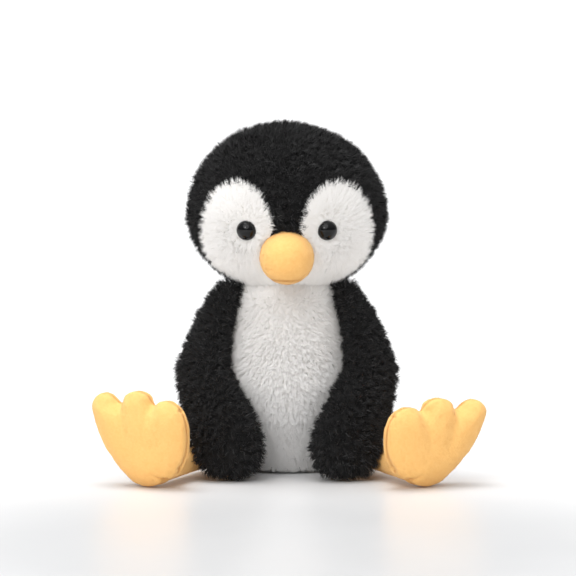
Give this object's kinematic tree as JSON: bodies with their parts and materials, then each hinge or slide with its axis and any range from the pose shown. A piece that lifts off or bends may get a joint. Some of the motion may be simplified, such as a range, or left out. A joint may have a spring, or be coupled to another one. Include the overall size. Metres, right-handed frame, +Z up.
{
  "type": "plush penguin",
  "caption": "Soft stuffed penguin in a sitting pose, with a large round head, hanging wings and splayed yellow feet with three toes.",
  "frame": {"origin": "on the floor under the middle of the body, at the middle of the flat seat", "axes": "+Z up, the toy faces -Y, +X towards the viewer's right"},
  "size_m": [0.207, 0.1417, 0.1895],
  "materials": {
    "black_pile": "short curly pile",
    "white_pile": "longer straight pile",
    "yellow_velour": "short brushed velour",
    "fibre_fill": "loose polyester fibre",
    "pouch_cloth": "plain woven",
    "pellets": "small smooth beads",
    "eye_plastic": "polished",
    "washer_plastic": "moulded",
    "label_tape": "satin woven tape"
  },
  "bodies": {
    "torso": {"belly_panel": "white_pile", "base_panel": "black_pile", "body_stuffing": "fibre_fill", "pouch_top": "pouch_cloth", "pouch_bottom": "pouch_cloth", "pellet_fill": "pellets", "care_label": "label_tape", "back_panel_left": "black_pile", "back_panel_right": "black_pile"},
    "neck": {"neck_stuffing": "fibre_fill"},
    "head": {"head_stuffing": "fibre_fill", "beak_upper": "yellow_velour", "beak_lower": "yellow_velour", "beak_stuffing": "fibre_fill", "face_panel_left": "white_pile", "crown_panel_left": "black_pile", "eye_left": "eye_plastic", "eye_washer_left": "washer_plastic", "face_panel_right": "white_pile", "crown_panel_right": "black_pile", "eye_right": "eye_plastic", "eye_washer_right": "washer_plastic"},
    "wing_left": {"wing_outer_left": "black_pile", "wing_inner_left": "black_pile", "wing_stuffing_left": "fibre_fill"},
    "leg_left": {"leg_tube_left": "yellow_velour", "leg_stuffing_left": "fibre_fill"},
    "foot_left": {"foot_sole_left": "yellow_velour", "foot_upper_left": "yellow_velour", "foot_stuffing_left": "fibre_fill"},
    "wing_right": {"wing_outer_right": "black_pile", "wing_inner_right": "black_pile", "wing_stuffing_right": "fibre_fill"},
    "leg_right": {"leg_tube_right": "yellow_velour", "leg_stuffing_right": "fibre_fill"},
    "foot_right": {"foot_sole_right": "yellow_velour", "foot_upper_right": "yellow_velour", "foot_stuffing_right": "fibre_fill"}
  },
  "joints": [
    {"name": "neck_turn", "type": "hinge", "parent": "torso", "child": "neck", "pos_m": [0, 0, 0.103], "axis": [0, 0, 1], "range_deg": [-25, 25], "stiffness_Nm_per_rad": 0.3},
    {"name": "neck_nod", "type": "hinge", "parent": "neck", "child": "head", "pos_m": [0, 0, 0.103], "axis": [1, 0, 0], "range_deg": [-10, 10], "stiffness_Nm_per_rad": 3},
    {"name": "shoulder_left", "type": "hinge", "parent": "torso", "child": "wing_left", "pos_m": [-0.0375, -0.006, 0.0935], "axis": [-0.9903, 0.1392, 0], "range_deg": [0, 70]},
    {"name": "hip_left", "type": "hinge", "parent": "torso", "child": "leg_left", "pos_m": [-0.041, -0.0075, 0.011], "axis": [0, 0, -1], "range_deg": [0, 35]},
    {"name": "ankle_left", "type": "hinge", "parent": "leg_left", "child": "foot_left", "pos_m": [-0.0608, -0.0565, 0.012], "axis": [0.866, -0.5, 0], "range_deg": [-10, 25], "stiffness_Nm_per_rad": 0.3},
    {"name": "shoulder_right", "type": "hinge", "parent": "torso", "child": "wing_right", "pos_m": [0.0375, -0.006, 0.0935], "axis": [-0.9903, -0.1392, 0], "range_deg": [0, 70]},
    {"name": "hip_right", "type": "hinge", "parent": "torso", "child": "leg_right", "pos_m": [0.041, -0.0075, 0.011], "axis": [0, 0, 1], "range_deg": [0, 35]},
    {"name": "ankle_right", "type": "hinge", "parent": "leg_right", "child": "foot_right", "pos_m": [0.0608, -0.0565, 0.012], "axis": [0.866, 0.5, 0], "range_deg": [-10, 25], "stiffness_Nm_per_rad": 0.3}
  ]
}
